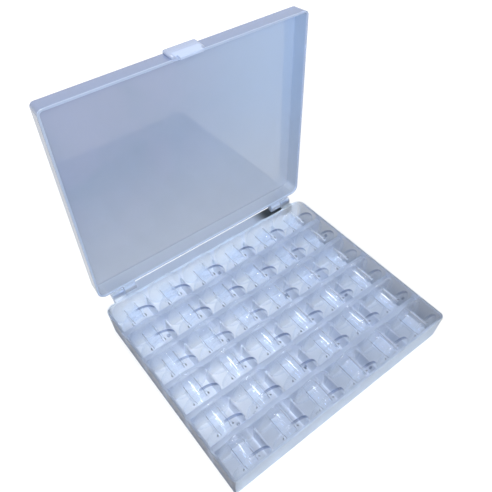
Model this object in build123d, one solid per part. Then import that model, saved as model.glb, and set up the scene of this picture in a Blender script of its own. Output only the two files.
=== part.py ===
"""Bobbin storage box: a clear moulded tray of cells, a hinged lid with a snap latch, and loose clear bobbins.

The box stands on the XY plane with the origin at the centre of its underside.
X runs along the hinge, +Y points to the hinge side and +Z is up.
The lid is stored open, leaning on its stop, as the box is used.
"""

import math
import os

from build123d import *

# Bobbin, a common flat-flanged household size
BOBBIN_DIA = 20.3
BOBBIN_WIDTH = 11.7
FLANGE_THICK = 1.2
HUB_DIA = 8.6
BORE_DIA = 6.1
THREAD_HOLE_DIA = 1.7
THREAD_HOLE_RADIUS = 6.6
SPIN_STEP = 137.5

# Cell grid
COLUMNS = 6
ROWS = 6
BOBBIN_SIDE_GAP = 0.15
BOBBIN_FLOOR_GAP = 0.1
BOBBIN_END_PLAY = 1.75
DIVIDER_TOP = 1.0
DIVIDER_ROOT = 1.3
DIVIDER_HEIGHT = 8.3
DIVIDER_EDGE_RADIUS = 0.3
BAR_TOP = 3.1
BAR_ROOT = 3.7
BAR_HEIGHT = 12.9
BAR_EDGE_RADIUS = 0.5

# Tray shell
TRAY_HEIGHT = 16.9
WALL = 1.2
FLOOR = 1.3
DRAFT = 3.7
FRONT_RADIUS = 2.6
REAR_RADIUS = 4.6
CAVITY_REAR_RADIUS = 2.2
FOOT_RADIUS = 0.8
RIM_RADIUS = 0.3

# Lid
LID_DEPTH = 9.0
LID_WALL = 1.1
LID_PANEL = 1.2
LID_EDGE_RADIUS = 1.0
PARTING_GAP = 0.1
OPEN_ANGLE = 91.4

# Hinge
HINGE_BEHIND = 3.4
HINGE_ABOVE = 1.2
BARREL_RADIUS = 2.1
PIN_RADIUS = 1.0
PIN_CLEARANCE = 0.05
PIN_END_GAP = 0.8
KNUCKLE = 6.5
KNUCKLE_GAP = 0.3
HINGE_END_INSET = 6.8
WEB_ROOT = 0.6
WEB_DROP = 7.5
STOP_REACH = 5.2
STOP_GAP = 0.08

# Snap latch
PAD_WIDTH = 16.2
PAD_TAPER = 1.3
PAD_THICK = 1.45
PAD_HEIGHT = 7.0
PAD_CORNER_RADIUS = 0.6
TONGUE_WIDTH = 11.4
TONGUE_THICK = 0.9
TONGUE_DROP = 2.3
BEAD_HEIGHT = 0.5
BEAD_PROUD = 0.45
CATCH_WIDTH = 10.4
CATCH_PROUD = 0.4
CATCH_LOW = 1.5
CATCH_HIGH = 0.6

# Sizes that follow from the ones above
PITCH_X = BOBBIN_DIA + 2 * BOBBIN_SIDE_GAP + DIVIDER_TOP
PITCH_Y = BOBBIN_WIDTH + 2 * BOBBIN_END_PLAY + BAR_TOP
WIDTH = COLUMNS * PITCH_X + 2 * WALL
DEPTH = ROWS * PITCH_Y - BAR_TOP + 2 * WALL
SLOPE = math.tan(math.radians(DRAFT))
RIM = TRAY_HEIGHT
LID_RIM = RIM + PARTING_GAP
AXIS_Y = DEPTH / 2 + HINGE_BEHIND
AXIS_Z = RIM + HINGE_ABOVE
BOBBIN_Z = FLOOR + BOBBIN_FLOOR_GAP + BOBBIN_DIA / 2
HINGE_END = WIDTH / 2 - HINGE_END_INSET
HINGE_AXIS = Axis((0, AXIS_Y, AXIS_Z), (1, 0, 0))


def outline(inset, rear_radius):
    """Plan outline of the box at the parting line, drawn in by inset, with rounder corners at the hinge."""
    shape = Rectangle(WIDTH - 2 * inset, DEPTH - 2 * inset)
    shape = fillet(shape.vertices().group_by(Axis.Y)[0], FRONT_RADIUS - inset)
    return fillet(shape.vertices().group_by(Axis.Y)[-1], rear_radius)


def drafted(inset, start, height, rear_radius=None):
    """Block on the outline from height start, up or down by height, narrowing with the mould draft."""
    way = (0, 0, 1) if height > 0 else (0, 0, -1)
    sketch = outline(inset, rear_radius or REAR_RADIUS - inset)
    return extrude(Pos(0, 0, start) * sketch, amount=abs(height), dir=way, taper=DRAFT)


def along_x(profile_points, x_from, x_to, round_points=(), radius=0.0):
    """Prism along X from a closed profile of (y, z) points, with chosen corners rounded."""
    profile = make_face(Polyline(*profile_points, close=True))
    if round_points:
        corners = [v for v in profile.vertices() if any(abs(v.X - p[0]) + abs(v.Y - p[1]) < 1e-6 for p in round_points)]
        profile = fillet(corners, radius)
    return Plane((x_from, 0, 0), x_dir=(0, 1, 0), z_dir=(1, 0, 0)) * extrude(profile, amount=x_to - x_from)


def barrel(x_from, x_to, radius):
    """Round bar on the hinge axis between two stations along X."""
    return Pos((x_from + x_to) / 2, AXIS_Y, AXIS_Z) * Rot(0, 90, 0) * Cylinder(radius, x_to - x_from)


def both_sides(make, x_from, x_to):
    """The same hinge piece at the right end and, mirrored, at the left end."""
    return make(x_from, x_to), make(-x_to, -x_from)


def wall_y(z):
    """Rear outer face of the drafted tray wall at height z."""
    return DEPTH / 2 - (RIM - z) * SLOPE


def tray_knuckle(x_from, x_to):
    """Tray hinge ear: a barrel on a gusset from the rear wall, with a heel behind it that stops the open lid."""
    lean = math.tan(math.radians(OPEN_ANGLE - 90))

    def rest_z(reach):
        """Height of the heel just under the open lid's drafted skirt."""
        return AXIS_Z + HINGE_BEHIND - STOP_GAP + (reach + HINGE_ABOVE - PARTING_GAP) * SLOPE - reach * lean

    heel_from = BARREL_RADIUS + 0.6
    gusset = along_x(
        [
            (wall_y(RIM) - WEB_ROOT, RIM - 0.2),
            (AXIS_Y - BARREL_RADIUS, RIM - 0.2),
            (AXIS_Y - BARREL_RADIUS, AXIS_Z),
            (AXIS_Y + BARREL_RADIUS, AXIS_Z),
            (AXIS_Y + BARREL_RADIUS, AXIS_Z - BARREL_RADIUS),
            (wall_y(RIM - WEB_DROP), RIM - WEB_DROP),
            (wall_y(RIM - WEB_DROP) - WEB_ROOT, RIM - WEB_DROP),
        ],
        x_from,
        x_to,
    )
    heel = along_x(
        [
            (AXIS_Y, AXIS_Z - BARREL_RADIUS),
            (AXIS_Y + BARREL_RADIUS, AXIS_Z - BARREL_RADIUS),
            (AXIS_Y + STOP_REACH, AXIS_Z),
            (AXIS_Y + STOP_REACH, rest_z(STOP_REACH)),
            (AXIS_Y + heel_from, rest_z(heel_from)),
            (AXIS_Y, AXIS_Z + 0.4 * BARREL_RADIUS),
        ],
        x_from,
        x_to,
    )
    return gusset + heel + barrel(x_from, x_to, BARREL_RADIUS)


def lid_knuckle(x_from, x_to):
    """Lid hinge ear in the closed pose: a barrel on a web from the rear skirt."""
    skirt_y = DEPTH / 2 - WEB_ROOT
    web = along_x(
        [
            (skirt_y, LID_RIM + 0.2),
            (AXIS_Y - 0.6 * BARREL_RADIUS, LID_RIM + 0.2),
            (AXIS_Y, AXIS_Z + BARREL_RADIUS),
            (skirt_y, AXIS_Z + 2.2 * BARREL_RADIUS),
        ],
        x_from,
        x_to,
    )
    return web + barrel(x_from, x_to, BARREL_RADIUS)


def make_tray():
    """Tray moulding: drafted shell, cross bars between rows, dividers between cells, hinge ears and latch catch."""
    shell = drafted(0, RIM, -RIM)
    shell = fillet(shell.faces().sort_by(Axis.Z)[0].edges(), FOOT_RADIUS)
    # the corner cells stay square enough for a bobbin's flange
    shell -= drafted(WALL, RIM, FLOOR - RIM, CAVITY_REAR_RADIUS)
    shell = fillet(shell.faces().sort_by(Axis.Z)[-1].edges(), RIM_RADIUS)

    bar_z = FLOOR + BAR_HEIGHT
    bar = along_x(
        [
            (-BAR_ROOT / 2, FLOOR - 0.5),
            (BAR_ROOT / 2, FLOOR - 0.5),
            (BAR_TOP / 2, bar_z),
            (-BAR_TOP / 2, bar_z),
        ],
        -WIDTH / 2 + WALL / 2,
        WIDTH / 2 - WALL / 2,
        [(BAR_TOP / 2, bar_z), (-BAR_TOP / 2, bar_z)],
        BAR_EDGE_RADIUS,
    )
    divider_z = FLOOR + DIVIDER_HEIGHT
    divider = Rot(0, 0, 90) * along_x(
        [
            (-DIVIDER_ROOT / 2, FLOOR - 0.5),
            (DIVIDER_ROOT / 2, FLOOR - 0.5),
            (DIVIDER_TOP / 2, divider_z),
            (-DIVIDER_TOP / 2, divider_z),
        ],
        -DEPTH / 2 + WALL / 2,
        DEPTH / 2 - WALL / 2,
        [(DIVIDER_TOP / 2, divider_z), (-DIVIDER_TOP / 2, divider_z)],
        DIVIDER_EDGE_RADIUS,
    )
    grid = [Pos(0, (k - (ROWS - 2) / 2) * PITCH_Y, 0) * bar for k in range(ROWS - 1)]
    grid += [Pos((k - (COLUMNS - 2) / 2) * PITCH_X, 0, 0) * divider for k in range(COLUMNS - 1)]
    # the grid's ends stop inside the drafted shell
    grid = [piece & drafted(WALL / 2, RIM, FLOOR / 2 - RIM) for piece in grid]
    tray = shell + grid

    ears = both_sides(tray_knuckle, HINGE_END - KNUCKLE, HINGE_END)
    bores = both_sides(
        lambda a, b: barrel(a, b, PIN_RADIUS + PIN_CLEARANCE), HINGE_END - KNUCKLE - 1, HINGE_END + 1
    )
    tray = tray + list(ears) - list(bores)

    face_y = -DEPTH / 2
    catch = along_x(
        [
            (face_y + 0.4, RIM - CATCH_LOW - 0.2),
            (face_y + CATCH_LOW * SLOPE, RIM - CATCH_LOW),
            (face_y + CATCH_LOW * SLOPE - CATCH_PROUD, RIM - CATCH_LOW + 0.15),
            (face_y + CATCH_HIGH * SLOPE, RIM - CATCH_HIGH),
            (face_y + 0.4, RIM - CATCH_HIGH),
        ],
        -CATCH_WIDTH / 2,
        CATCH_WIDTH / 2,
    )
    return tray + catch


def make_lid():
    """Lid moulding, built closed and swung open: drafted tray lid, latch pad with a tongue, ears with stub pins."""
    top = LID_RIM + LID_DEPTH
    lid = drafted(0, LID_RIM, LID_DEPTH)
    lid = fillet(lid.faces().sort_by(Axis.Z)[-1].edges(), LID_EDGE_RADIUS)
    lid -= drafted(LID_WALL, LID_RIM, LID_DEPTH - LID_PANEL)
    lid = fillet(lid.faces().sort_by(Axis.Z)[0].edges(), RIM_RADIUS)

    face_y = -DEPTH / 2
    half = PAD_WIDTH / 2
    pad = make_face(
        Polyline(
            (-half, face_y + 0.8),
            (-half + PAD_TAPER, face_y - PAD_THICK),
            (half - PAD_TAPER, face_y - PAD_THICK),
            (half, face_y + 0.8),
            close=True,
        )
    )
    pad = fillet(pad.vertices().group_by(Axis.Y)[0], PAD_CORNER_RADIUS)
    pad = extrude(Pos(0, 0, LID_RIM) * pad, amount=PAD_HEIGHT)
    # the pad runs out into the skirt above the thumb's hold
    pad &= along_x(
        [
            (face_y + 0.8, LID_RIM),
            (face_y - PAD_THICK, LID_RIM),
            (face_y - PAD_THICK, LID_RIM + PAD_HEIGHT / 2),
            (face_y + 0.7, LID_RIM + PAD_HEIGHT),
            (face_y + 0.8, LID_RIM + PAD_HEIGHT),
        ],
        -half,
        half,
        [(face_y - PAD_THICK, LID_RIM), (face_y - PAD_THICK, LID_RIM + PAD_HEIGHT / 2)],
        0.4,
    )
    tip_z = RIM - TONGUE_DROP
    inner_y = face_y - PAD_THICK + TONGUE_THICK
    tongue = along_x(
        [
            (face_y - PAD_THICK, LID_RIM + 1.0),
            (face_y - PAD_THICK, tip_z + 0.3),
            (face_y - PAD_THICK + 0.3, tip_z),
            (inner_y + BEAD_PROUD - 0.2, tip_z),
            (inner_y + BEAD_PROUD, tip_z + BEAD_HEIGHT - 0.15),
            (inner_y, tip_z + BEAD_HEIGHT),
            (inner_y, LID_RIM + 1.0),
        ],
        -TONGUE_WIDTH / 2,
        TONGUE_WIDTH / 2,
    )
    lid = lid + pad + tongue

    inner_end = HINGE_END - KNUCKLE - KNUCKLE_GAP
    ears = both_sides(lid_knuckle, inner_end - KNUCKLE, inner_end)
    pins = both_sides(lambda a, b: barrel(a, b, PIN_RADIUS), inner_end - 0.5, HINGE_END - PIN_END_GAP)
    lid = lid + list(ears) + list(pins)
    return lid.rotate(HINGE_AXIS, -OPEN_ANGLE)


def make_bobbin():
    """Bobbin turned about Y at the origin: two flat flanges on a tubular hub, each flange with a thread hole."""
    rim, hub, bore = BOBBIN_DIA / 2, HUB_DIA / 2, BORE_DIA / 2
    end, root = BOBBIN_WIDTH / 2, BOBBIN_WIDTH / 2 - FLANGE_THICK
    profile = make_face(
        Polyline(
            (bore, -end),
            (rim, -end),
            (rim, -root),
            (hub, -root),
            (hub, root),
            (rim, root),
            (rim, end),
            (bore, end),
            close=True,
        )
    )
    spool = revolve(profile, axis=Axis.Y)
    hole = Pos(0, 0, THREAD_HOLE_RADIUS) * Rot(90, 0, 0) * Cylinder(THREAD_HOLE_DIA / 2, BOBBIN_WIDTH + 2)
    return spool - hole


def main():
    os.makedirs("parts", exist_ok=True)
    export_step(make_tray(), "parts/tray.step")
    export_step(make_lid(), "parts/lid.step")
    bobbin = make_bobbin()
    for row in range(ROWS):
        for column in range(COLUMNS):
            x = (column - (COLUMNS - 1) / 2) * PITCH_X
            y = (row - (ROWS - 1) / 2) * PITCH_Y
            spin = (row * COLUMNS + column) * SPIN_STEP
            placed = Pos(x, y, BOBBIN_Z) * Rot(0, spin, 0) * bobbin
            export_step(placed, f"parts/bobbin_r{row + 1}c{column + 1}.step")
    print(f"width {WIDTH:.2f} depth {DEPTH:.2f} hinge axis y {AXIS_Y:.3f} z {AXIS_Z:.3f}")


main()
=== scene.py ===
"""Bobbin storage box on a white table: milky moulded tray and lid, thirty-six clear bobbins lying in their cells."""

import math

import bpy
import numpy as np
from mathutils import Matrix, Vector


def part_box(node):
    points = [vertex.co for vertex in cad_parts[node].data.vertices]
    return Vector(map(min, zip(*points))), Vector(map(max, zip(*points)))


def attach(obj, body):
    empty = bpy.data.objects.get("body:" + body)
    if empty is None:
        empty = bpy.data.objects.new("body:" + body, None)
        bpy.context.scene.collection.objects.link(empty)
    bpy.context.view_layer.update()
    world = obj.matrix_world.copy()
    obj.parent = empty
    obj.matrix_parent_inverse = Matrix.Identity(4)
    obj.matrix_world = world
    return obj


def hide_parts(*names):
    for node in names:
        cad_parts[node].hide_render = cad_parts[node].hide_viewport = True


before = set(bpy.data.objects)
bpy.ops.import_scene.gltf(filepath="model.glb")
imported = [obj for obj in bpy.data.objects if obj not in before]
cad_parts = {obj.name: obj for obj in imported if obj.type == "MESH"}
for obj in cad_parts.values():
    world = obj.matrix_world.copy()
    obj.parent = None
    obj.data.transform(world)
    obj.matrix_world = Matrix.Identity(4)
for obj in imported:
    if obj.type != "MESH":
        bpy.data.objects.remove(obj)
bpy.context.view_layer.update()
MM = 0.001

# ---------------------------------------------------------------- small helpers for shader nodes


def add(tree, kind, **values):
    """A node of the given kind. A value is either another node's output, which is linked, or a plain setting."""
    node = tree.nodes.new(kind)
    for key, value in values.items():
        socket = None
        if key.startswith("in_"):
            socket = node.inputs[int(key[3:])]
        elif key.replace("_", " ") in node.inputs:
            socket = node.inputs[key.replace("_", " ")]
        if socket is None:
            setattr(node, key, value)
        elif isinstance(value, bpy.types.NodeSocket):
            tree.links.new(value, socket)
        else:
            socket.default_value = value
    return node


def math_node(tree, operation, a, b=0.0, clamp=False):
    """One arithmetic step, as a node output."""
    return add(tree, "ShaderNodeMath", operation=operation, use_clamp=clamp, in_0=a, in_1=b).outputs[0]


def multiply_add(tree, a, b, c):
    """a times b plus c, as a node output."""
    return add(tree, "ShaderNodeMath", operation="MULTIPLY_ADD", in_0=a, in_1=b, in_2=c).outputs[0]


def all_of(tree, first, *others):
    """The masks multiplied together: 1 only where every one is 1."""
    for other in others:
        first = math_node(tree, "MULTIPLY", first, other)
    return first


def ramp(tree, value, low, high, to_low=0.0, to_high=1.0):
    """A smooth step from to_low to to_high while value goes from low to high."""
    return add(
        tree,
        "ShaderNodeMapRange",
        interpolation_type="SMOOTHSTEP",
        Value=value,
        From_Min=low,
        From_Max=high,
        To_Min=to_low,
        To_Max=to_high,
    ).outputs[0]


def mix_colour(tree, factor, a, b):
    """Colour a where factor is 0 and b where it is 1."""
    a, b = (value if isinstance(value, bpy.types.NodeSocket) else (*value, 1.0) for value in (a, b))
    return add(tree, "ShaderNodeMix", data_type="RGBA", in_0=factor, in_6=a, in_7=b).outputs[2]


def new_group(name, inputs, outputs):
    """An empty node group. Inputs are (name, type, value) and outputs are (name, type)."""
    tree = bpy.data.node_groups.new(name, "ShaderNodeTree")
    for label, kind, value in inputs:
        socket = tree.interface.new_socket(label, in_out="INPUT", socket_type=kind)
        if value is not None:
            socket.default_value = value
    for label, kind in outputs:
        tree.interface.new_socket(label, in_out="OUTPUT", socket_type=kind)
    return tree, tree.nodes.new("NodeGroupInput").outputs, tree.nodes.new("NodeGroupOutput").inputs


def use(tree, group, **values):
    """A copy of a node group inside a material."""
    return add(tree, "ShaderNodeGroup", node_tree=group, **values).outputs


# ---------------------------------------------------------------- effects shared by the plastics

# how much finer the grain is than the cloud, the width of a scuff in its cell, and patches of scuffs to a metre
GRAIN_FINENESS, SCUFF_LINE, SCUFF_PATCHES = 30.0, 0.025, 110.0
# depth of the surface bump, and how far a scuff cuts below the grain
BUMP_DEPTH, SCUFF_CUT = 0.00005, -0.4


def make_flow_group():
    """Cloudy streaks left in a moulding as the plastic filled the mould, with a finer grain on top."""
    tree, given, out = new_group(
        "moulding_flow",
        [("Place", "NodeSocketVector", None), ("Size", "NodeSocketFloat", 40.0)],
        [("Cloud", "NodeSocketFloat"), ("Grain", "NodeSocketFloat")],
    )
    cloud = add(
        tree,
        "ShaderNodeTexNoise",
        Vector=given["Place"],
        Scale=given["Size"],
        Detail=3.0,
        Roughness=0.5,
        Distortion=0.8,
    )
    fine = math_node(tree, "MULTIPLY", given["Size"], GRAIN_FINENESS)
    grain = add(tree, "ShaderNodeTexNoise", Vector=given["Place"], Scale=fine, Detail=2.0, Roughness=0.6)
    tree.links.new(cloud.outputs[0], out["Cloud"])
    tree.links.new(grain.outputs[0], out["Grain"])
    return tree


def make_scratch_group():
    """Hairline scuffs: thin bright lines in two directions, broken up so that they come and go."""
    tree, given, out = new_group(
        "hairline_scuffs",
        [("Place", "NodeSocketVector", None), ("Density", "NodeSocketFloat", 90.0)],
        [("Scuff", "NodeSocketFloat")],
    )
    lines = None
    for turn, stretch in ((0.5, 0.05), (-0.9, 0.07)):
        turned = add(tree, "ShaderNodeMapping", Vector=given["Place"], Rotation=(0.3, turn, turn * 1.7))
        turned.inputs["Scale"].default_value = (1.0, stretch, 1.0)
        cells = add(
            tree,
            "ShaderNodeTexVoronoi",
            feature="DISTANCE_TO_EDGE",
            Vector=turned.outputs[0],
            Scale=given["Density"],
        )
        line = ramp(tree, cells.outputs["Distance"], 0.0, SCUFF_LINE, 1.0, 0.0)
        lines = line if lines is None else math_node(tree, "MAXIMUM", lines, line)
    patches = add(tree, "ShaderNodeTexNoise", Vector=given["Place"], Scale=SCUFF_PATCHES, Detail=2.0)
    broken = ramp(tree, patches.outputs[0], 0.52, 0.66)
    tree.links.new(math_node(tree, "MULTIPLY", lines, broken), out["Scuff"])
    return tree


def marked(name):
    """A zone that is stored on a piece's own points under a name."""
    return lambda tree, at: add(tree, "ShaderNodeAttribute", attribute_name=name).outputs["Fac"]


FLOW = make_flow_group()
SCUFFS = make_scratch_group()


def plastic(
    name,
    thin,
    thick,
    lets_through,
    transmission,
    ior,
    rough,
    scuff_rough,
    bump,
    flow_size,
    coat=0.0,
    rim_rough=0.0,
    gloss=0.5,
    zones=(),
):
    """Clear or milky moulded plastic: cloud of two tints, roughness lifted by grain and scuffs, a faint surface bump.

    Lamp light passes one face of it with the colour lets_through, so what lies behind is lit too. Each zone is
    a function that makes a mask from the place on the piece, and the tint there. The tints were matched to the
    photo by patch; they are not known differences in the plastic.
    """
    material = bpy.data.materials.new(name)
    material.use_nodes = True
    tree = material.node_tree
    shader = tree.nodes["Principled BSDF"]
    place = add(tree, "ShaderNodeTexCoord").outputs["Object"]
    flow = use(tree, FLOW, Place=place, Size=flow_size)
    scuff = use(tree, SCUFFS, Place=place)["Scuff"]
    tint = mix_colour(tree, ramp(tree, flow["Cloud"], 0.3, 0.7), thin, thick)
    xyz = add(tree, "ShaderNodeSeparateXYZ", in_0=place).outputs
    for zone, zone_tint in zones:
        tint = mix_colour(tree, zone(tree, xyz), tint, zone_tint)
    tree.links.new(tint, shader.inputs["Base Color"])
    # the grain swings the roughness by a quarter either way
    roughness = multiply_add(tree, flow["Grain"], rough * 0.5, rough * 0.75)
    roughness = multiply_add(tree, scuff, scuff_rough, roughness)
    if rim_rough:
        roughness = multiply_add(tree, marked("frosted_rim")(tree, xyz), rim_rough, roughness)
    tree.links.new(roughness, shader.inputs["Roughness"])
    height = multiply_add(tree, scuff, SCUFF_CUT, flow["Grain"])
    relief = add(tree, "ShaderNodeBump", Strength=bump, Distance=BUMP_DEPTH, Height=height)
    tree.links.new(relief.outputs[0], shader.inputs["Normal"])
    shader.inputs["Transmission Weight"].default_value = transmission
    shader.inputs["IOR"].default_value = ior
    shader.inputs["Coat Weight"].default_value = coat
    shader.inputs["Specular IOR Level"].default_value = gloss
    path = add(tree, "ShaderNodeLightPath").outputs
    passed = add(tree, "ShaderNodeBsdfTransparent", Color=(*lets_through, 1.0))
    both = add(tree, "ShaderNodeMixShader", in_0=path["Is Shadow Ray"], in_1=shader.outputs[0], in_2=passed.outputs[0])
    tree.links.new(both.outputs[0], tree.nodes["Material Output"].inputs["Surface"])
    return material


# ---------------------------------------------------------------- places where a moulding's tint changes, and where light and shade are painted into it

# height of the tray's rim, slope of its walls, and half its width and depth at the rim
RIM_Z = 16.9 * MM
DRAFT = math.tan(math.radians(3.7))
HALF_WIDTH, HALF_DEPTH = 66.0 * MM, 54.55 * MM
ROW_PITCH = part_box("bobbin_r2c1")[0][1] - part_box("bobbin_r1c1")[0][1]
COLUMN_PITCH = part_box("bobbin_r1c2")[0][0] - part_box("bobbin_r1c1")[0][0]
# the standing lid leans back from its hinge by 1.4 degrees
LID_LEAN = math.tan(math.radians(1.4))
LID_RIM_Y, HINGE_Y, HINGE_Z = 56.75 * MM, 57.95 * MM, 18.1 * MM
LID_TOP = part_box("lid")[1][2]
PAD_HALF, PAD_REACH = 8.1 * MM, 8.0 * MM
LEDGE_HALF, LEDGE_TOP, LEDGE_BACK = 53.5 * MM, HINGE_Z - 2.7 * MM, HINGE_Y + 3.6 * MM


def thick_bars(tree, at):
    """The solid bars between the rows and the tray's rim, with a stronger tint."""
    across = math_node(tree, "PINGPONG", at[1], ROW_PITCH / 2)
    away = math_node(tree, "ABSOLUTE", at[1])
    inside = ramp(tree, away, 2.4 * ROW_PITCH, 2.5 * ROW_PITCH, 1.0, 0.0)
    high = ramp(tree, at[2], 3 * MM, 8 * MM)
    bar = all_of(tree, ramp(tree, across, 1.5 * MM, 2.2 * MM, 1.0, 0.0), inside, high)
    rim = ramp(tree, at[2], RIM_Z - 1.0 * MM, RIM_Z - 0.2 * MM)
    rim = all_of(tree, rim, ramp(tree, at[1], 48 * MM, 52 * MM, 1.0, 0.0))
    return math_node(tree, "MAXIMUM", bar, rim)


def lit_column_walls(tree, at):
    """The thin walls between the columns, paler than the floor: painted light on their shaded sides."""
    across = math_node(tree, "PINGPONG", at[0], COLUMN_PITCH / 2)
    away = math_node(tree, "ABSOLUTE", at[0])
    inside = ramp(tree, away, 2.4 * COLUMN_PITCH, 2.5 * COLUMN_PITCH, 1.0, 0.0)
    return all_of(tree, ramp(tree, across, 1.0 * MM, 1.8 * MM, 0.6, 0.0), inside)


def outside(tree, along, z, half):
    """1 on the outer face of a sloping wall that is half from the middle at its rim, 0 on its inner face."""
    above_rim = math_node(tree, "SUBTRACT", z, RIM_Z)
    wall = multiply_add(tree, above_rim, -DRAFT, math_node(tree, "ABSOLUTE", along))
    return ramp(tree, wall, half - 0.7 * MM, half - 0.3 * MM)


def shaded_far_corner(tree, at):
    """The front right and the left end of the tray, a darker tint that is painted shade."""
    along = math_node(tree, "SUBTRACT", math_node(tree, "MULTIPLY", at[0], 0.6), at[1])
    side = ramp(tree, at[0], -HALF_WIDTH + 2 * MM, -HALF_WIDTH + 12 * MM, 0.8, 0.0)
    return math_node(tree, "MAXIMUM", ramp(tree, along, -60 * MM, 80 * MM), side)


def shaded_front_rows(tree, at):
    """The rows nearest the front wall, a darker tint that is painted shade and fades towards the third row."""
    return ramp(tree, at[1], -HALF_DEPTH, -HALF_DEPTH + 2.6 * ROW_PITCH, 0.9, 0.0)


def lit_outer_front(tree, at):
    """The outside of the tray's front and rear walls, in a paler tint that is painted light."""
    return outside(tree, at[1], at[2], HALF_DEPTH)


def shaded_outer_sides(tree, at):
    """The outside of the tray's left and right walls, in a dark tint that is painted shade, strongest at the foot."""
    face = outside(tree, at[0], at[2], HALF_WIDTH)
    return all_of(tree, face, ramp(tree, at[2], 1 * MM, RIM_Z, 1.0, 0.25))


def knuckles(tree, at):
    """What stands behind the tray's rear wall: the hinge ears and the ledge, in a grey tint that is painted shade
    under the standing lid.
    """
    return ramp(tree, at[1], HALF_DEPTH + 0.3 * MM, HALF_DEPTH + 0.9 * MM)


def shade_by_right_hinge(tree, at):
    """The near-black right end of the ledge, painted shade by the right hinge; a guess: the photo is dark there and
    doesn't show why.
    """
    right_end = ramp(tree, at[0], LEDGE_HALF - 21 * MM, LEDGE_HALF - 10 * MM)
    low = ramp(tree, at[2], LEDGE_TOP, LEDGE_TOP + 0.3 * MM, 1.0, 0.0)
    return all_of(tree, knuckles(tree, at), right_end, low)


def painted_highlights(tree, at):
    """Painted highlights: a pale line along the top of the tray's hinge knuckles, and along the edge of its rear rim.
    """
    knuckle = ramp(tree, at[2], HINGE_Z + 1.3 * MM, HINGE_Z + 1.7 * MM)
    knuckle = all_of(tree, knuckle, ramp(tree, at[1], HINGE_Y - 2.5 * MM, HINGE_Y - 2.0 * MM))
    off_rim = math_node(tree, "ABSOLUTE", math_node(tree, "SUBTRACT", at[2], RIM_Z))
    rim = ramp(tree, off_rim, 0.2 * MM, 0.6 * MM, 1.0, 0.0)
    rim = all_of(tree, rim, ramp(tree, at[1], HALF_DEPTH - 2 * MM, HALF_DEPTH - 1.6 * MM))
    return math_node(tree, "MAXIMUM", knuckle, rim)


def from_lid_rim(tree, at):
    """How far a place on the standing lid lies behind the plane of its rim."""
    up = math_node(tree, "SUBTRACT", at[2], HINGE_Z)
    return multiply_add(tree, up, -LID_LEAN, math_node(tree, "SUBTRACT", at[1], LID_RIM_Y))


def lid_rim(tree, at):
    """The edge of the lid's skirt all round, which shows pale: a painted highlight."""
    behind = from_lid_rim(tree, at)
    band = ramp(tree, behind, 0.3 * MM, 1.0 * MM, 1.0, 0.0)
    return all_of(tree, band, ramp(tree, behind, -0.8 * MM, -0.3 * MM))


def lid_right(tree, at):
    """The lid's right half, a little cooler than the left."""
    return ramp(tree, at[0], -30 * MM, 60 * MM)


def lit_lid_low(tree, at):
    """The lid's lower part, paler than the upper, and a little less so to the right: painted light, the light thrown
    back onto it from the tray and the table.
    """
    low = ramp(tree, at[2], 20 * MM, 105 * MM, 1.0, 0.0)
    return all_of(tree, low, ramp(tree, at[0], 0.0, HALF_WIDTH, 1.0, 0.75))


def shaded_lid_shelf(tree, at):
    """The inside of the lid's skirt along the hinge, a darker tint that is painted shade on a face the lamps light."""
    return ramp(tree, at[2], HINGE_Z + 4.6 * MM, HINGE_Z + 6.4 * MM, 1.0, 0.0)


def lid_left(tree, at):
    """The outside of the lid's left side."""
    return ramp(tree, at[0], -HALF_WIDTH + 0.4 * MM, -HALF_WIDTH + 1.2 * MM, 1.0, 0.0)


def lid_top(tree, at):
    """The outside of the lid's skirt along its far edge."""
    return ramp(tree, at[2], LID_TOP - 3.4 * MM, LID_TOP - 2.6 * MM)


def latch(tree, at):
    """The thumb pad on the lid's far edge."""
    middle = ramp(tree, math_node(tree, "ABSOLUTE", at[0]), 8.3 * MM, 8.7 * MM, 1.0, 0.0)
    return all_of(tree, middle, ramp(tree, at[2], LID_TOP - 1.6 * MM, LID_TOP - 1.2 * MM))


def tongue(tree, at):
    """The latch's tongue, which reaches past the lid's rim below the pad, and the pad's own foot."""
    middle = ramp(tree, math_node(tree, "ABSOLUTE", at[0]), 6.3 * MM, 6.8 * MM, 1.0, 0.0)
    front = ramp(tree, from_lid_rim(tree, at), 2.4 * MM, 3.2 * MM, 1.0, 0.0)
    far = ramp(tree, at[2], LID_TOP - 8 * MM, LID_TOP - 6 * MM)
    return all_of(tree, middle, front, far)


TRAY = plastic(
    "milky_tray",
    thin=(0.745, 0.765, 0.80),
    thick=(0.69, 0.715, 0.76),
    lets_through=(0.85, 0.88, 0.92),
    transmission=0.75,
    ior=1.35,
    rough=0.45,
    scuff_rough=0.10,
    bump=0.05,
    flow_size=45.0,
    zones=(
        # painted shade: the far corner, the front rows, the outer sides, what stands behind the rear wall and the
        # ledge's right end; painted light: the column walls, the outside of the front and rear walls and the pale
        # lines on the hinge and rear rim
        (shaded_far_corner, (0.52, 0.565, 0.645)),
        (shaded_front_rows, (0.40, 0.435, 0.505)),
        (lit_column_walls, (0.78, 0.84, 0.97)),
        (thick_bars, (0.50, 0.57, 0.71)),
        (lit_outer_front, (0.735, 0.835, 0.965)),
        (shaded_outer_sides, (0.10, 0.13, 0.20)),
        (knuckles, (0.46, 0.52, 0.63)),
        (shade_by_right_hinge, (0.03, 0.04, 0.05)),
        (painted_highlights, (0.88, 0.94, 1.0)),
    ),
)
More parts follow.
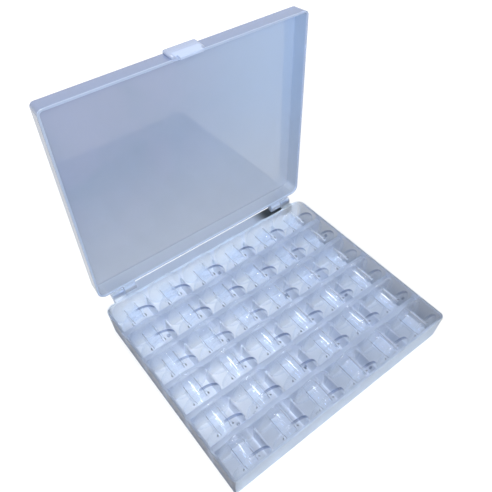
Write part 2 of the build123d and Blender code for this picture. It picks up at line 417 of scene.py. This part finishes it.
LID = plastic(
    "milky_lid",
    thin=(0.455, 0.515, 0.68),
    thick=(0.41, 0.495, 0.645),
    lets_through=(0.80, 0.84, 0.89),
    transmission=0.35,
    ior=1.49,
    rough=0.04,
    scuff_rough=0.06,
    bump=0.02,
    flow_size=30.0,
    gloss=0.9,
    zones=(
        # painted light: the lid's lower part and its pale rim; painted shade: the inside of its skirt along the hinge
        (lid_right, (0.515, 0.64, 0.83)),
        (lit_lid_low, (0.60, 0.65, 0.74)),
        (shaded_lid_shelf, (0.48, 0.53, 0.62)),
        (lid_left, (0.37, 0.46, 0.65)),
        (lid_top, (0.35, 0.42, 0.60)),
        (lid_rim, (0.67, 0.79, 1.0)),
        (latch, (0.60, 0.68, 0.85)),
        (tongue, (0.68, 0.77, 0.94)),
    ),
)
# The clear plastics of the bobbins bend light less than real ones do: at the real index, about 1.5, total
# reflection draws heavy dark lines that the photo doesn't have. The coat gives them their gloss.
CLEAR_TO_LAMPS, CLEAR_FLOW = (0.97, 0.98, 0.99), 160.0
FLANGE = plastic(
    "clear_flange",
    thin=(0.98, 0.99, 1.0),
    thick=(0.95, 0.97, 1.0),
    lets_through=CLEAR_TO_LAMPS,
    transmission=0.95,
    ior=1.02,
    rough=0.04,
    scuff_rough=0.08,
    bump=0.04,
    flow_size=CLEAR_FLOW,
    coat=0.8,
    rim_rough=0.04,
    zones=(
        (marked("frosted_rim"), (0.88, 0.92, 0.98)),
        # painted shade: the dark arc on the front rim, and the dark filling the front thread hole
        (marked("painted_dark_arc"), (0.30, 0.36, 0.52)),
        (marked("thread_hole_shade"), (0.14, 0.19, 0.32)),
    ),
)
TUBE = plastic(
    "clear_tube",
    thin=(0.90, 0.93, 0.98),
    thick=(0.87, 0.91, 0.97),
    lets_through=CLEAR_TO_LAMPS,
    transmission=0.96,
    ior=1.08,
    rough=0.02,
    scuff_rough=0.05,
    bump=0.03,
    flow_size=CLEAR_FLOW,
    coat=1.0,
)
TUBE.node_tree.nodes["Principled BSDF"].inputs["Coat IOR"].default_value = 1.7
TUBE.node_tree.nodes["Principled BSDF"].inputs["Coat Roughness"].default_value = 0.05
BORE_WALL = plastic(
    "clear_bore",
    thin=(0.90, 0.94, 1.0),
    thick=(0.87, 0.92, 1.0),
    lets_through=CLEAR_TO_LAMPS,
    transmission=0.97,
    ior=1.08,
    rough=0.04,
    scuff_rough=0.05,
    bump=0.03,
    flow_size=CLEAR_FLOW,
)

# ---------------------------------------------------------------- bobbins

# A bobbin's sizes in millimetres: radii of rim, hub and bore, then how far from its middle the flanges' outer and
# inner faces and the bore's last rings are.
RIM, HUB, BORE = 10.15, 4.3, 3.05
END, ROOT, BARE = 5.85, 4.65, 4.0
# thread hole: radius, distance from the axis, bevel, and half the patch of grid that it is cut from
HOLE, HOLE_AT, HOLE_BEVEL, HOLE_PATCH = 0.85, 6.6, 0.1, 1.2
# grid cells round a bobbin, cells along one side of the hole's patch, and points round the hole
AROUND, PATCH_CELLS = 72, 4
HOLE_POINTS = 4 * PATCH_CELLS
# steps in a rounded corner, and how far from it the guard points are that keep the flat beside it flat
CORNER_STEPS, GUARD = 3, 0.12
ROWS, COLUMNS = 6, 6
# a bobbin is turned by this much more than the last one, and the painted shade in its thread hole steps by this share
TURN_STEP, TINT_STEP = 137.5, 0.618
# an edge is shaded sharp where its faces meet at more than this angle
SHARP_ANGLE = math.radians(40.0)


def rounded(corners):
    """Closed profile through (radius, place) corners: each is an arc of its own size between two guard points.

    A point of the arc is corner + size ((sin t - 1) way in + (1 - cos t) way out), t from 0 to a quarter turn.
    """
    p = np.array([c[:2] for c in corners], float)
    size = np.array([c[2] for c in corners], float)
    before = p - np.roll(p, 1, 0)
    after = np.roll(p, -1, 0) - p
    before /= np.linalg.norm(before, axis=1)[:, None]
    after /= np.linalg.norm(after, axis=1)[:, None]
    t = np.linspace(0.0, math.pi / 2, CORNER_STEPS + 1)
    arc = p[:, None] + size[:, None, None] * (
        (np.sin(t) - 1)[None, :, None] * before[:, None] + (1 - np.cos(t))[None, :, None] * after[:, None]
    )
    guard_in = p - (size[:, None] + GUARD) * before
    guard_out = p + (size[:, None] + GUARD) * after
    return np.concatenate([guard_in[:, None], arc, guard_out[:, None]], 1)


def spool_mesh():
    """Points and faces of one bobbin turned about Y at the origin.

    A profile of (radius, place along Y) is swept once round: point = (radius sin a, place, radius cos a).
    At a = 0 each flange has a round thread hole. The grid cells there are left out and strips run from
    their border to a bevelled ring and through the flange to the other side.
    """
    corners = [
        (BORE, -END, 0.22),
        (RIM, -END, 0.42),
        (RIM, -ROOT, 0.30),
        (HUB, -ROOT, 0.45),
        (HUB, ROOT, 0.45),
        (RIM, ROOT, 0.30),
        (RIM, END, 0.42),
        (BORE, END, 0.22),
    ]
    arcs = rounded(corners)
    stops = np.linspace(HOLE_AT - HOLE_PATCH, HOLE_AT + HOLE_PATCH, PATCH_CELLS + 1)
    rows, marks = [], {}
    flats = {0: (stops, -END), 2: (stops[::-1], -ROOT), 4: (stops, ROOT), 6: (stops[::-1], END)}
    for k, arc in enumerate(arcs):
        rows.append(arc)
        if k in flats:
            radii, place = flats[k]
            marks[k] = sum(len(r) for r in rows)
            rows.append(np.column_stack([radii, np.full(PATCH_CELLS + 1, place)]))
    rows.append([(BORE, BARE), (BORE, -BARE)])
    profile = np.concatenate(rows)
    n, m = len(profile), AROUND
    a = (np.arange(m) - PATCH_CELLS // 2) * (2 * math.pi / m)
    grid = np.stack(
        [
            profile[:, :1] * np.sin(a),
            np.repeat(profile[:, 1:], m, 1),
            profile[:, :1] * np.cos(a),
        ],
        -1,
    )
    points = [grid.reshape(-1, 3)]
    i, j = np.meshgrid(np.arange(n), np.arange(m), indexing="ij")
    ring, next_ring, beside = i * m, (i + 1) % n * m, (j + 1) % m
    quads = np.stack([ring + j, next_ring + j, next_ring + beside, ring + beside], -1)
    keep = np.ones((n, m), bool)
    for start in marks.values():
        keep[start : start + PATCH_CELLS, :PATCH_CELLS] = False
    faces = [quads[keep]]
    count = n * m
    # border of the missing cells, once round: along the first ring, up the side, back along the last ring, down
    up, down = np.arange(PATCH_CELLS), np.arange(PATCH_CELLS, 0, -1)
    first, last = np.zeros(PATCH_CELLS, int), np.full(PATCH_CELLS, PATCH_CELLS)
    di = np.r_[first, up, last, down]
    dj = np.r_[up, last, down, first]
    for outer, inner in ((marks[0], marks[2]), (marks[6], marks[4])):
        loop_out = (outer + di) * m + dj
        # the inner face's rings run the other way, so its border is read from its far ring
        loop_in = (inner + PATCH_CELLS - di) * m + dj
        base = grid.reshape(-1, 3)
        y_out, y_in = base[loop_out[0], 1], base[loop_in[0], 1]
        turn = np.arctan2(base[loop_out, 0], base[loop_out, 2] - HOLE_AT)
        step = HOLE_BEVEL * np.sign(y_in - y_out)
        rings = []
        wide = HOLE + HOLE_BEVEL
        for size, y in ((wide, y_out), (HOLE, y_out + step), (HOLE, y_in - step), (wide, y_in)):
            x, z = size * np.sin(turn), HOLE_AT + size * np.cos(turn)
            points.append(np.column_stack([x, np.full(HOLE_POINTS, y), z]))
            rings.append(count + np.arange(HOLE_POINTS))
            count += HOLE_POINTS
        chain = [loop_out, *rings, loop_in]
        for one, two in zip(chain[:-1], chain[1:]):
            faces.append(np.stack([one, two, np.roll(two, -1), np.roll(one, -1)], -1))
    return np.concatenate(points), np.concatenate(faces)


def mark(thing, name, values):
    """Stores one number per point under a name that a material can read."""
    numbers = thing.data.attributes.new(name, "FLOAT", "POINT")
    numbers.data.foreach_set("value", np.asarray(values, np.float32))


def mesh_object(name, points, quads, material):
    """A smooth-shaded object from arrays of points in metres and four-cornered faces, all facing outwards.

    Six times the volume is the sum of a . (b x c) over the faces' triangles; where it is negative, all faces turn.
    """
    q = points[quads]
    volume = np.einsum("ij,ij->i", q[:, 0], np.cross(q[:, 1], q[:, 2])).sum()
    volume += np.einsum("ij,ij->i", q[:, 0], np.cross(q[:, 2], q[:, 3])).sum()
    mesh = bpy.data.meshes.new(name)
    mesh.from_pydata(points.tolist(), [], (quads if volume > 0 else quads[:, ::-1]).tolist())
    mesh.shade_smooth()
    mesh.set_sharp_from_angle(angle=SHARP_ANGLE)
    mesh.materials.append(material)
    thing = bpy.data.objects.new(name, mesh)
    bpy.context.scene.collection.objects.link(thing)
    return thing


def arc_on_front_rim(p):
    """1 on the upper right of the front flange's rim and fading along it, else 0: a painted dark arc for the dark that
    the rim refracts; the photo has a dark arc there.
    """
    turn = np.arctan2(p[:, 0], p[:, 2])
    rim = np.hypot(p[:, 0], p[:, 2]) > (RIM - 0.45) * MM
    return rim * (p[:, 1] < -ROOT * MM) * np.clip((0.75 - np.abs(turn - 0.55)) / 0.3, 0, 1)


def place_bobbins():
    """One spool in every cell, each turned further than the last, so that the thread holes don't line up."""
    points, faces = spool_mesh()
    radius = np.hypot(points[:, 0], points[:, 2])
    far = radius[faces].max(1)
    level = np.abs(points[:, 1][faces].mean(1))
    in_bore = far < BORE + 0.3
    on_hub = (far < HUB + 0.5) & (level < END - 0.05)
    # which of the three plastics a face has: 0 flange, 1 tube, 2 wall of the bore
    which = np.where(in_bore, 2, on_hub).astype(np.int32)
    edge = np.clip((radius - RIM + 0.5) / 0.25, 0, 1)
    # painted shade: the front flange's thread hole is darkened, by a share that differs from bobbin to bobbin
    hole = (np.hypot(points[:, 0], points[:, 2] - HOLE_AT) < HOLE + 0.05) * (points[:, 1] < 0)
    for row in range(ROWS):
        for column in range(COLUMNS):
            node = f"bobbin_r{row + 1}c{column + 1}"
            low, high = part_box(node)
            middle = np.array((low + high) / 2)
            count = row * COLUMNS + column
            spin = math.radians(count * TURN_STEP)
            c, s = math.cos(spin), math.sin(spin)
            turn = np.array([[c, 0, s], [0, 1, 0], [-s, 0, c]])
            here = points @ turn.T * MM + middle
            spool = mesh_object(f"spool_r{row + 1}c{column + 1}", here, faces, FLANGE)
            spool.data.materials.append(TUBE)
            spool.data.materials.append(BORE_WALL)
            spool.data.polygons.foreach_set("material_index", which)
            mark(spool, "frosted_rim", edge)
            mark(spool, "thread_hole_shade", hole * (count * TINT_STEP % 1))
            mark(spool, "painted_dark_arc", arc_on_front_rim(here - middle))
            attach(spool, node)
            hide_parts(node)


place_bobbins()

for node, material in (("tray", TRAY), ("lid", LID)):
    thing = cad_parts[node]
    thing.data.materials.clear()
    thing.data.materials.append(material)

# ---------------------------------------------------------------- thumb pad and hinge ledge


def plate(name, low, high, round_by, material, node):
    """A plate between two opposite corners, its edges rounded, that moves with a node.

    Its eight corners are low + (0 or 1) (high - low) along each axis, and a bevel rounds the edges.
    """
    corner = np.array([[i >> 2 & 1, i >> 1 & 1, i & 1] for i in range(8)])
    faces = np.array([(0, 1, 3, 2), (4, 6, 7, 5), (0, 4, 5, 1), (2, 3, 7, 6), (0, 2, 6, 4), (1, 5, 7, 3)])
    low, high = np.array(low), np.array(high)
    thing = mesh_object(name, low + corner * (high - low), faces, material)
    bevel = thing.modifiers.new("round", "BEVEL")
    bevel.width, bevel.segments = round_by, 3
    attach(thing, node)


# the latch's thumb pad lies on the skirt's outside, from the rim to the lid's face
PAD_RIM = LID_RIM_Y + (LID_TOP - HINGE_Z) * LID_LEAN
plate(
    "thumb_pad",
    (-PAD_HALF, PAD_RIM, LID_TOP - 2.4 * MM),
    (PAD_HALF, PAD_RIM + PAD_REACH, LID_TOP - 0.2 * MM),
    0.8 * MM,
    LID,
    "lid",
)
# a ledge along the tray's rear wall, between the hinges and below them, closes the view through the hinge gap, and its
# grey tint is painted shade; it is a guess, because the photo doesn't show what closes that gap
plate(
    "hinge_ledge",
    (-LEDGE_HALF, HALF_DEPTH - 1.0 * MM, LEDGE_TOP - 1.6 * MM),
    (LEDGE_HALF, LEDGE_BACK, LEDGE_TOP),
    0.3 * MM,
    TRAY,
    "tray",
)

# ---------------------------------------------------------------- table, light and camera


# light that the surroundings give, half size of the table and its depth below the box's foot
SOFT_LIGHT, TABLE_HALF, TABLE_Z = 0.36, 3.0, -0.00005
# the table's own white: 0.58 up to 0.1 m from the box's middle, where shadows fall, and 1 from 0.7 m on
WHITE_FROM, WHITE_TO, WHITE_NEAR, WHITE_FAR = 0.1, 0.7, 0.58, 1.0


def seen_or_mirrored(tree):
    """1 for a ray from the eye, off a gloss or through the plastic, 0 for the rays that only light things."""
    path = add(tree, "ShaderNodeLightPath").outputs
    seen = math_node(tree, "ADD", path["Is Camera Ray"], path["Is Glossy Ray"])
    return math_node(tree, "ADD", seen, path["Is Transmission Ray"], clamp=True)


def make_world():
    """White surroundings for the eye, for reflections and through the plastic; a plain soft level for lighting."""
    world = bpy.data.worlds.new("studio")
    bpy.context.scene.world = world
    world.use_nodes = True
    tree = world.node_tree
    tree.nodes.clear()
    seen = seen_or_mirrored(tree)
    soft = add(tree, "ShaderNodeBackground", Color=(0.93, 0.96, 1.0, 1.0), Strength=SOFT_LIGHT)
    white = add(tree, "ShaderNodeBackground", Color=(1.0, 1.0, 1.0, 1.0), Strength=1.0)
    both = add(tree, "ShaderNodeMixShader", in_0=seen, in_1=soft.outputs[0], in_2=white.outputs[0])
    add(tree, "ShaderNodeOutputWorld", Surface=both.outputs[0])


def make_table():
    """White table top that keeps the soft shadow: a matt grey, with white added where it is seen or mirrored."""
    mesh = bpy.data.meshes.new("table")
    s, z = TABLE_HALF, TABLE_Z
    mesh.from_pydata([(-s, -s, z), (s, -s, z), (s, s, z), (-s, s, z)], [], [(0, 1, 2, 3)])
    table = bpy.data.objects.new("table", mesh)
    bpy.context.scene.collection.objects.link(table)
    material = bpy.data.materials.new("white_table")
    material.use_nodes = True
    tree = material.node_tree
    tree.nodes.clear()
    where = add(tree, "ShaderNodeTexCoord").outputs["Object"]
    away = add(tree, "ShaderNodeVectorMath", operation="LENGTH", in_0=where).outputs["Value"]
    level = ramp(tree, away, WHITE_FROM, WHITE_TO, WHITE_NEAR, WHITE_FAR)
    strength = all_of(tree, seen_or_mirrored(tree), level)
    matt = add(tree, "ShaderNodeBsdfDiffuse", Color=(0.50, 0.50, 0.50, 1.0))
    glow = add(tree, "ShaderNodeEmission", Color=(1.0, 1.0, 1.0, 1.0), Strength=strength)
    both = add(tree, "ShaderNodeAddShader", in_0=matt.outputs[0], in_1=glow.outputs[0])
    add(tree, "ShaderNodeOutputMaterial", Surface=both.outputs[0])
    mesh.materials.append(material)


def soft_lamp(name, place, aim, wide, tall, watts):
    """A softbox at place, turned to aim."""
    data = bpy.data.lights.new(name, "AREA")
    data.shape = "RECTANGLE"
    data.size, data.size_y, data.energy = wide, tall, watts
    lamp = bpy.data.objects.new(name, data)
    bpy.context.scene.collection.objects.link(lamp)
    lamp.location = place
    lamp.rotation_euler = (Vector(aim) - Vector(place)).to_track_quat("-Z", "Y").to_euler()


# the camera, fitted to the photo: turn, lift and roll in degrees, the point it looks at, and its lens
CAMERA_ANGLES = (-37.86, 47.60, -0.19)
CAMERA_TARGET, CAMERA_DISTANCE = (0.02077, 0.04911, 0.010), 0.31318
CAMERA_SENSOR, CAMERA_LENS = 36.0, 39.84


def make_camera():
    """Camera at the photo's place: it looks down on the box from the front left."""
    turn, lift, roll = (math.radians(angle) for angle in CAMERA_ANGLES)
    back = Vector((math.sin(turn) * math.cos(lift), -math.cos(turn) * math.cos(lift), math.sin(lift)))
    right = (-back).cross(Vector((0, 0, 1))).normalized()
    up = right.cross(-back)
    r = right * math.cos(roll) + up * math.sin(roll)
    u = up * math.cos(roll) - right * math.sin(roll)
    data = bpy.data.cameras.new("camera")
    data.sensor_width, data.lens = CAMERA_SENSOR, CAMERA_LENS
    data.clip_start, data.clip_end = 0.01, 20.0
    camera = bpy.data.objects.new("camera", data)
    bpy.context.scene.collection.objects.link(camera)
    here = Vector(CAMERA_TARGET) + back * CAMERA_DISTANCE
    camera.matrix_world = Matrix(
        ((r.x, u.x, back.x, here.x), (r.y, u.y, back.y, here.y), (r.z, u.z, back.z, here.z), (0, 0, 0, 1))
    )
    bpy.context.scene.camera = camera


make_world()
make_table()
soft_lamp("key", (-0.20, -0.66, 0.66), (0, 0, 0.03), 0.09, 0.20, 4.2)
soft_lamp("back", (-0.08, 0.38, 0.78), (0, 0, 0.02), 0.18, 0.36, 2.6)
make_camera()
scene = bpy.context.scene
scene.view_settings.view_transform = "Standard"
# light crosses many clear walls before it reaches the tray's floor
scene.cycles.max_bounces = 40
scene.cycles.transmission_bounces = 36
scene.cycles.transparent_max_bounces = 40
